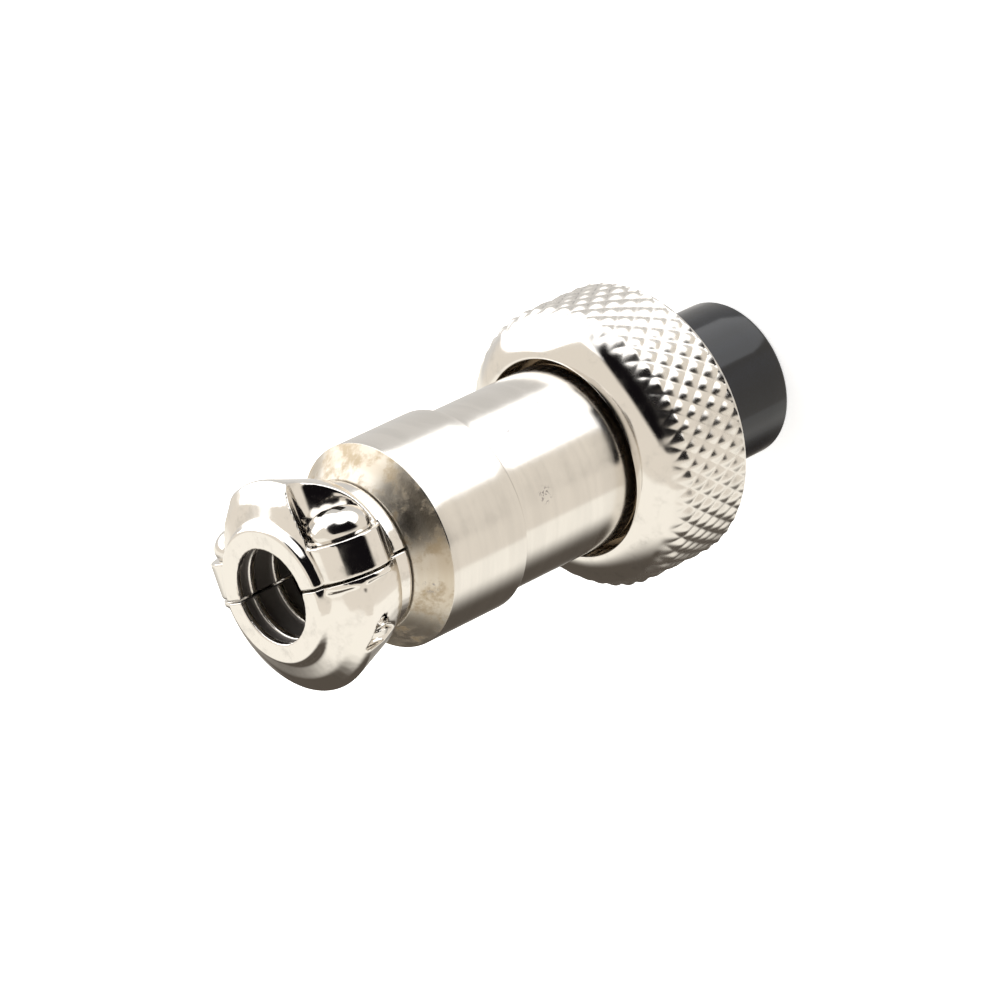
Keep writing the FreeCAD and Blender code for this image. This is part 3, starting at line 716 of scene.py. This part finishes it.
def make_shell():
    low, high = (corner.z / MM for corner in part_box("rear_shell"))
    cone_end_z = BARREL_END_Z + BARREL_R - CONE_END_R
    outline = rounded([
        (SHELL_THREAD_R, low + SHELL_MOUTH_CHAMFER), (SHELL_THREAD_R + SHELL_MOUTH_CHAMFER, low, SHARP_EDGE),
        (TUBE_R, low, SHELL_FRONT_EDGE), (TUBE_R, STEP_Z, SHARP_EDGE),
        (BARREL_R, STEP_Z, SHELL_EDGE), (BARREL_R, BARREL_END_Z, SHELL_EDGE),
        (CONE_END_R, cone_end_z, SHELL_EDGE), (NECK_R, cone_end_z, SHARP_EDGE),
        (NECK_R, NECK_END_Z, SHARP_EDGE), (NECK_FLANGE_R, NECK_END_Z, SHELL_EDGE),
        (NECK_FLANGE_R, high, SHELL_EDGE), (SHELL_CABLE_R, high, SHELL_EDGE),
        (SHELL_CABLE_R, SHELL_BORE_END_Z, SHARP_EDGE), (SHELL_BORE_R, SHELL_BORE_END_Z, SHELL_BORE_ROUND),
        (SHELL_BORE_R, SHELL_THREAD_END_Z, SHARP_EDGE), (SHELL_THREAD_R, SHELL_THREAD_END_Z),
    ], steps=6)
    rows = around(divided(outline, SHELL_STRETCH), SHELL_COLUMNS)
    shell = mesh_object("rear_shell_body", rows, closed=True)
    hole = rod(LOCK_SCREW_HOLE_R, *LOCK_SCREW_HOLE_REACH)
    bmesh.ops.rotate(hole, verts=hole.verts, matrix=Matrix.Rotation(math.radians(-90), 3, "X"))
    bmesh.ops.translate(hole, verts=hole.verts, vec=(0.0, 0.0, LOCK_SCREW_Z))
    cut_away(shell, [hole])
    dress(shell, shell_metal("shell_nickel"))
    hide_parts("rear_shell")
    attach(shell, "shell")


def contact_places():
    """The middle, then places in a ring round it."""
    places = [(0.0, 0.0)]
    for index in range(CONTACT_RING_COUNT):
        angle = math.radians(CONTACT_RING_START + index * 360.0 / CONTACT_RING_COUNT)
        places.append((CONTACT_RING_R * math.cos(angle), CONTACT_RING_R * math.sin(angle)))
    return places


def make_insert():
    low, high = (corner.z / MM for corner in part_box("insert"))
    front, seat = INSERT_FLANGE_Z
    outline = rounded([
        (0.0, low), (NOSE_R, low, NOSE_EDGE), (NOSE_R, front, SHARP_EDGE),
        (INSERT_FLANGE_R, front, SHARP_EDGE), (INSERT_FLANGE_R, seat, SHARP_EDGE),
        (INSERT_TAIL_R, seat, SHARP_EDGE), (INSERT_TAIL_R, high, INSERT_TAIL_EDGE), (0.0, high),
    ], steps=6)
    rows = around(divided(outline, INSERT_STRETCH), INSERT_COLUMNS)
    insert = mesh_object("insert_body", rows, closed=False)
    tools = []
    for place in contact_places():
        tools.append(rod(CONTACT_ENTRY_R, -1.0, CONTACT_RECESS + 0.1, place, CONTACT_COLUMNS))
        tools.append(rod(CONTACT_BORE_R, CONTACT_RECESS, high + 1.0, place, CONTACT_COLUMNS))
    tools.append(block((-KEYWAY_HALF_WIDTH, KEYWAY_FLOOR, -1.0),
                       (KEYWAY_HALF_WIDTH, NOSE_R + 1.0, KEYWAY_LENGTH)))
    cut_away(insert, tools)
    dress(insert, moulded_plastic("insert_black", BLACK_MOULDING, roughness=0.06))
    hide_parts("insert")
    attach(insert, "shell")


def screw_thread_radius(theta, r, z):
    """Radius of a clamp screw, with its thread below the head."""
    if not SCREW_TIP + SCREW_TIP_CHAMFER < z < SCREW_SEAT - SCREW_PLAIN or r < SCREW_R - 0.01:
        return r
    return r - SCREW_THREAD_DEPTH * thread_wave(theta, z, SCREW_PITCH)


def screw_outline(top):
    """Tip, shank and domed head of a clamp screw."""
    shank_start = Vector((SCREW_R, SCREW_TIP + SCREW_TIP_CHAMFER))
    shank = divided([shank_start, Vector((SCREW_R, SCREW_SEAT))], SCREW_THREAD_STRETCH)
    head = [Vector((SCREW_HEAD_R - SCREW_HEAD_UNDERCUT, SCREW_SEAT))]
    crown = SCREW_SEAT + SCREW_HEAD_EDGE
    for step in range(CROWN_STEPS + 1):
        angle = math.pi / 2 * step / CROWN_STEPS
        head.append(Vector((SCREW_HEAD_R * math.cos(angle) ** SCREW_CROWN_BEND,
                            crown + (top - crown) * math.sin(angle))))
    tip = [Vector((0.0, SCREW_TIP)), Vector((SCREW_R - SCREW_TIP_CHAMFER, SCREW_TIP))]
    return tip + shank + head


def make_screw(name, node, body, side, material):
    """Screw along X, on the side of Y that side says."""
    top = SCREW_SEAT + SCREW_HEAD_HEIGHT
    rows = around(screw_outline(top), SCREW_COLUMNS, screw_thread_radius)
    screw = mesh_object(name, rows, closed=False)
    arms = []
    for width, length in ((RECESS_REACH, RECESS_HALF_WIDTH), (RECESS_HALF_WIDTH, RECESS_REACH)):
        arms.append(block((-width, -length, top - RECESS_DEPTH), (width, length, top + 1.0)))
    cut_away(screw, arms)
    turn = Matrix.Rotation(math.radians(90), 4, "Y")
    place = Matrix.Translation(Vector((0.0, side * SCREW_OFFSET, SCREW_Z)) * MM)
    screw.data.transform(place @ turn)
    dress(screw, material)
    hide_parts(node)
    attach(screw, body)


def make_clamp_half(name, node, body, material, slits=()):
    """Copy of a CAD half with the soft edges that a plated casting has, and its slits cut sharp."""
    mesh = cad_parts[node].data.copy()
    mesh.transform(Matrix.Scale(1.0 / MM, 4))
    half = linked_object(name, mesh)
    remesh = half.modifiers.new("remesh", "REMESH")
    remesh.mode = "VOXEL"
    remesh.voxel_size = CLAMP_VOXEL
    soften = half.modifiers.new("soften", "SMOOTH")
    soften.factor = 0.5
    soften.iterations = CLAMP_SMOOTHING
    bake_modifiers(half)
    half.data.transform(Matrix.Scale(MM, 4))
    shade(half.data, smooth_angle=180.0)
    if slits:
        tools = [sector(SLIT_R, SLIT_Z, start, SLIT_SWEEP) for start in slits]
        cut_away(half, tools, smooth_angle=60.0)
    dress(half, material)
    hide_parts(node)
    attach(half, body)


def dress_frame_nodes():
    """Finishes of the inner parts, which keep their CAD meshes. The holder and slip washer are painted dark
    brown as shade.
    """
    # Painted shade on the holder and slip washer
    inner = turned_metal("inner_plate_painted_shade", INNER_PLATE_PAINTED_SHADE, roughness=0.3, ring_height=0.004)
    spring = cast_metal("spring_steel", SPRING_STEEL, roughness=0.25, swell=0.004)
    plate = cast_metal("screw_nickel", SCREW_PLATE, roughness=0.2, swell=0.004)
    contact = cast_metal("contact_plate", CONTACT_PLATE, roughness=0.2, swell=0.003)
    finish = {"insert_holder": inner, "slip_washer": inner, "retaining_ring": spring, "lock_screw": plate}
    for name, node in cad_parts.items():
        dress(node, finish.get(name, contact))


# Set

def make_floor():
    bpy.ops.mesh.primitive_plane_add(size=FLOOR_SIZE, location=(0.0, 0.0, 0.0))
    floor = bpy.context.object
    floor.name = "studio_floor"
    material, tree, shader, place = new_material("floor_paper")
    tree.links.new(blended(tree, noise(tree, place, PAPER_TONE), *FLOOR_PAPER), shader.inputs["Base Color"])
    shader.inputs["Roughness"].default_value = 0.9
    shader.inputs["Emission Color"].default_value = (1.0, 1.0, 1.0, 1.0)
    shader.inputs["Emission Strength"].default_value = FLOOR_GLOW
    floor.data.materials.append(material)
    floor.visible_glossy = False


def lit_room(tree, up, front, compass, height):
    """Light of the boxes, the walls and the table in a direction."""
    below = maths(tree, "MULTIPLY_ADD", front, TABLE_END_SHARE, up)
    table = blended(tree, spread(tree, below, *TABLE_END), TABLE_LIGHT, TABLE_DARK)
    away = maths(tree, "ABSOLUTE", compass)
    wall = blended(tree, spread(tree, away, *WALL_TO_BACK), WALL_LIGHT, BACK_LIGHT)
    level = blended(tree, spread(tree, height, *TABLE_TO_WALL), table, wall)
    to_left = product(tree, spread(tree, compass, *LEFT_BOX_START), spread(tree, compass, *LEFT_BOX_END))
    box_edge = maths(tree, "MULTIPLY_ADD", to_left, -LEFT_BOX_DROP, BOX_LOW_EDGE)
    over_edge = maths(tree, "SUBTRACT", height, box_edge)
    return blended(tree, spread(tree, over_edge, -BOX_EDGE_BLUR, BOX_EDGE_BLUR), level, BOX_LIGHT)


def camera_side(tree, compass, height):
    """Share of the dark room round the camera in a direction. Its lower edge rises to the left."""
    left_of_slope = maths(tree, "MAXIMUM", maths(tree, "SUBTRACT", DARK_SLOPE_START, compass), 0.0)
    low_edge = product(tree, left_of_slope, DARK_SLOPE)
    over_edge = maths(tree, "SUBTRACT", height, low_edge)
    return product(tree, spread(tree, over_edge, *DARK_BOTTOM), spread(tree, height, *DARK_TOP),
                   spread(tree, compass, *DARK_LEFT), spread(tree, compass, *DARK_RIGHT))


def make_world():
    """Soft surroundings for the metal to reflect, laid out by compass angle and height in degrees: bright
    boxes to the left, behind and above, a cream wall, a pale table and the dark room round the camera."""
    world = bpy.data.worlds.new("studio")
    bpy.context.scene.world = world
    world.use_nodes = True
    tree = world.node_tree
    direction = add(tree, "ShaderNodeTexCoord").outputs["Generated"]
    up, front, right = (vector_value(tree, "DOT_PRODUCT", direction, axis)
                        for axis in (PHOTO_UP, PHOTO_FRONT, PHOTO_RIGHT))
    compass = maths(tree, "DEGREES", maths(tree, "ARCTAN2", right, front))
    height = maths(tree, "DEGREES", maths(tree, "ARCSINE", up))
    room = lit_room(tree, up, front, compass, height)
    lit = blended(tree, camera_side(tree, compass, height), room, CAMERA_SIDE)
    background = tree.nodes["Background"]
    tree.links.new(lit, background.inputs["Color"])
    background.inputs["Strength"].default_value = 1.0


def make_lights():
    light = bpy.data.lights.new("softbox", "AREA")
    light.size = SOFTBOX_SIZE
    light.energy = SOFTBOX_POWER
    lamp = linked_object("softbox", light)
    lamp.location = SOFTBOX_PLACE
    lamp.rotation_euler = (Vector(SOFTBOX_AIM) - lamp.location).to_track_quat("-Z", "Y").to_euler()
    lamp.visible_glossy = False
    lamp.visible_camera = False


def make_camera():
    camera = linked_object("camera", bpy.data.cameras.new("camera"))
    camera.data.lens = CAMERA_LENS
    camera.data.sensor_width = CAMERA_SENSOR
    camera.data.clip_start, camera.data.clip_end = CAMERA_CLIP
    axes = Matrix((CAMERA_RIGHT, CAMERA_UP, CAMERA_BACK)).transposed().to_4x4()
    camera.matrix_world = Matrix.Translation(Vector(CAMERA_PLACE) * MM) @ axes
    bpy.context.scene.camera = camera


clamp_plate = clamp_metal("clamp_nickel")
screw_plate = cast_metal("screw_head_nickel", NICKEL, roughness=0.1, swell=0.004)
clamp_slits = (SLIT_START - 90.0, 90.0 - SLIT_START - SLIT_SWEEP)

dress_frame_nodes()
make_nut()
make_shell()
make_insert()
make_clamp_half("clamp_casting_a", "clamp_half_a", "clamp_a", clamp_plate, clamp_slits)
make_clamp_half("clamp_casting_b", "clamp_half_b", "clamp_b", clamp_plate)
make_screw("pan_screw_a", "clamp_screw_a", "screw_a", -1, screw_plate)
make_screw("pan_screw_b", "clamp_screw_b", "screw_b", 1, screw_plate)
make_floor()
make_world()
make_lights()
make_camera()
bpy.context.scene.view_settings.view_transform = "Standard"
